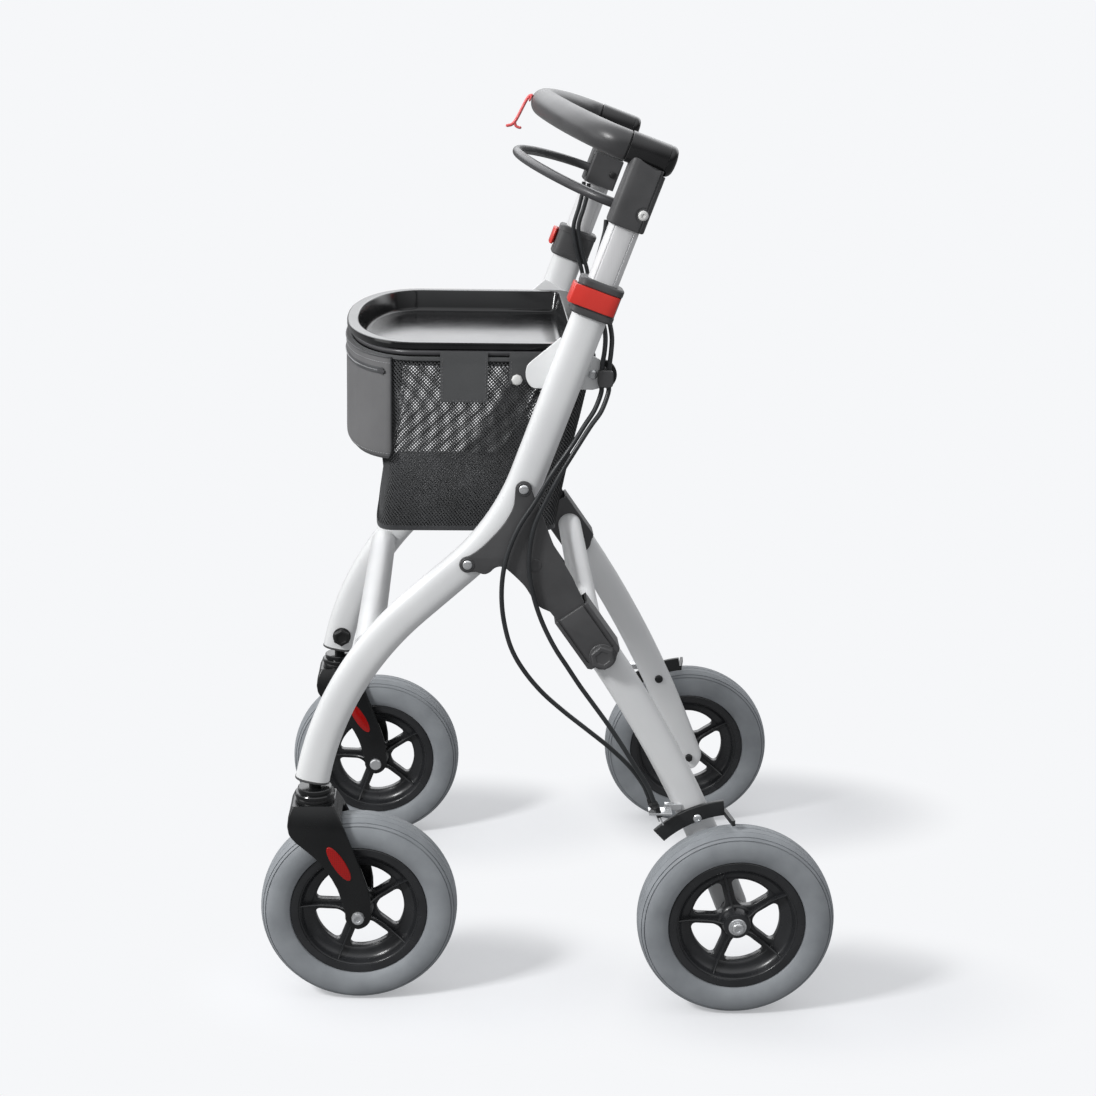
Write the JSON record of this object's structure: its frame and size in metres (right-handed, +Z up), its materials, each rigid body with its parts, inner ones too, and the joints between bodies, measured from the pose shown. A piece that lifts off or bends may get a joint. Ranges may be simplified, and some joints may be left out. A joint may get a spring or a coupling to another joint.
{
  "type": "indoor rollator",
  "caption": "Indoor walking frame on wheels with a one-piece loop handle and brake loop, lift-off tray over a mesh basket with a zipped pouch, swivel front wheels and folding rear legs.",
  "frame": {"origin": "middle of the object's footprint, on the floor under the tyres", "axes": "+X to the user's left, -Y the way it is pushed, +Z up"},
  "size_m": [0.517, 0.5772, 0.898],
  "materials": {
    "white_paint": "satin powder coat",
    "dark_grey_plastic": "fine matt grain",
    "black_gloss_plastic": "gloss",
    "grip_rubber": "smooth soft-touch",
    "loop_coating": "satin coat",
    "tyre_rubber": "matt grey",
    "rim_plastic": "satin black",
    "zinc_steel": "zinc plated",
    "drawn_aluminium": "satin anodised",
    "red_plastic": "satin",
    "red_wire": "dip coated",
    "basket_fabric": "woven mesh",
    "pouch_fabric": "coated cloth",
    "cable_sheath": "satin"
  },
  "bodies": {
    "frame": {"main_tube_left": "white_paint", "main_tube_right": "white_paint", "front_cross_tube": "white_paint", "rear_cross_tube": "white_paint", "gusset_plate_left": "dark_grey_plastic", "gusset_plate_right": "dark_grey_plastic", "hinge_housing_left": "dark_grey_plastic", "hinge_housing_right": "dark_grey_plastic", "hinge_bolt_left": "dark_grey_plastic", "hinge_bolt_right": "dark_grey_plastic", "height_collar_left": "dark_grey_plastic", "height_collar_right": "dark_grey_plastic", "basket_bracket_left": "white_paint", "basket_bracket_right": "white_paint", "cable_clip_left": "dark_grey_plastic", "cable_clip_right": "dark_grey_plastic", "caster_housing_left": "dark_grey_plastic", "caster_housing_right": "dark_grey_plastic", "brake_cable_left_front": "cable_sheath", "brake_cable_left_rear": "cable_sheath", "brake_cable_right_front": "cable_sheath", "brake_cable_right_rear": "cable_sheath"},
    "height_lever_left": {"height_lever_left": "red_plastic"},
    "height_lever_right": {"height_lever_right": "red_plastic"},
    "handle": {"telescopic_tube_left": "drawn_aluminium", "telescopic_tube_right": "drawn_aluminium", "handle_bracket_left": "dark_grey_plastic", "handle_bracket_right": "dark_grey_plastic", "handle_tube": "drawn_aluminium", "handle_grip": "grip_rubber", "handle_end_cap_left": "black_gloss_plastic", "handle_end_cap_right": "black_gloss_plastic", "brake_pivot_screw_left": "zinc_steel", "brake_pivot_screw_right": "zinc_steel", "bag_hook": "red_wire"},
    "brake_loop": {"brake_loop": "loop_coating"},
    "rear_frame": {"rear_leg_left": "white_paint", "rear_leg_right": "white_paint", "rear_axle_left": "zinc_steel", "rear_axle_right": "zinc_steel", "cable_adjuster_left": "dark_grey_plastic", "cable_adjuster_right": "dark_grey_plastic"},
    "brake_bar_left": {"brake_bar_left": "black_gloss_plastic"},
    "brake_bar_right": {"brake_bar_right": "black_gloss_plastic"},
    "rear_wheel_left": {"rear_tyre_left": "tyre_rubber", "rear_rim_left": "rim_plastic"},
    "rear_wheel_right": {"rear_tyre_right": "tyre_rubber", "rear_rim_right": "rim_plastic"},
    "caster_left": {"caster_fork_left": "black_gloss_plastic", "front_axle_left": "zinc_steel"},
    "caster_right": {"caster_fork_right": "black_gloss_plastic", "front_axle_right": "zinc_steel"},
    "front_wheel_left": {"front_tyre_left": "tyre_rubber", "front_rim_left": "rim_plastic"},
    "front_wheel_right": {"front_tyre_right": "tyre_rubber", "front_rim_right": "rim_plastic"},
    "basket": {"basket": "basket_fabric", "basket_rim": "dark_grey_plastic", "basket_pouch": "pouch_fabric"},
    "tray": {"tray": "black_gloss_plastic"}
  },
  "joints": [
    {"name": "height_lever_left", "type": "hinge", "parent": "frame", "child": "height_lever_left", "pos_m": [0.2122, 0.05106, 0.7137], "axis": [0, 0.342, 0.9397], "range_deg": [0, 100]},
    {"name": "height_lever_right", "type": "hinge", "parent": "frame", "child": "height_lever_right", "pos_m": [-0.2122, 0.05106, 0.7137], "axis": [0, -0.342, -0.9397], "range_deg": [0, 100]},
    {"name": "handle_height", "type": "slide", "parent": "frame", "child": "handle", "axis": [0, 0.342, 0.9397], "range_m": [-0.045, 0.06], "deforming": ["brake_cable_left_front", "brake_cable_left_rear", "brake_cable_right_front", "brake_cable_right_rear"]},
    {"name": "brake_loop", "type": "hinge", "parent": "handle", "child": "brake_loop", "pos_m": [0, 0.07656, 0.79807], "axis": [-1, 0, 0], "range_deg": [-10, 14]},
    {"name": "rear_fold", "type": "hinge", "parent": "frame", "child": "rear_frame", "pos_m": [0, 0.0495, 0.373], "axis": [-1, 0, 0], "range_deg": [0, 32], "deforming": ["brake_cable_left_front", "brake_cable_left_rear", "brake_cable_right_front", "brake_cable_right_rear"]},
    {"name": "brake_bar_left", "type": "hinge", "parent": "rear_frame", "child": "brake_bar_left", "pos_m": [0.2116, 0.14955, 0.20056], "axis": [1, 0, 0], "range_deg": [-4.5, 6.2]},
    {"name": "rear_wheel_left", "type": "hinge", "parent": "rear_frame", "child": "rear_wheel_left", "pos_m": [0.2325, 0.1895, 0.09914], "axis": [1, 0, 0], "continuous": true},
    {"name": "caster_left", "type": "hinge", "parent": "frame", "child": "caster_left", "pos_m": [0.198, -0.2325, 0.24], "axis": [0, 0, 1], "continuous": true},
    {"name": "front_wheel_left", "type": "hinge", "parent": "caster_left", "child": "front_wheel_left", "pos_m": [0.198, -0.1895, 0.09914], "axis": [1, 0, 0], "continuous": true},
    {"name": "brake_bar_right", "type": "hinge", "parent": "rear_frame", "child": "brake_bar_right", "pos_m": [-0.2116, 0.14955, 0.20056], "axis": [1, 0, 0], "range_deg": [-4.5, 6.2]},
    {"name": "rear_wheel_right", "type": "hinge", "parent": "rear_frame", "child": "rear_wheel_right", "pos_m": [-0.2325, 0.1895, 0.09914], "axis": [1, 0, 0], "continuous": true},
    {"name": "caster_right", "type": "hinge", "parent": "frame", "child": "caster_right", "pos_m": [-0.198, -0.2325, 0.24], "axis": [0, 0, 1], "continuous": true},
    {"name": "front_wheel_right", "type": "hinge", "parent": "caster_right", "child": "front_wheel_right", "pos_m": [-0.198, -0.1895, 0.09914], "axis": [1, 0, 0], "continuous": true},
    {"name": "basket_lift", "type": "slide", "parent": "frame", "child": "basket", "axis": [0, 0, 1], "range_m": [0, 0.045]},
    {"name": "tray_lift", "type": "slide", "parent": "basket", "child": "tray", "axis": [0, 0, 1], "range_m": [0, 0.04]}
  ],
  "couplings": [
    {"joint": "brake_bar_left", "follows": "brake_loop", "ratio": 0.43},
    {"joint": "brake_bar_right", "follows": "brake_loop", "ratio": 0.43}
  ]
}
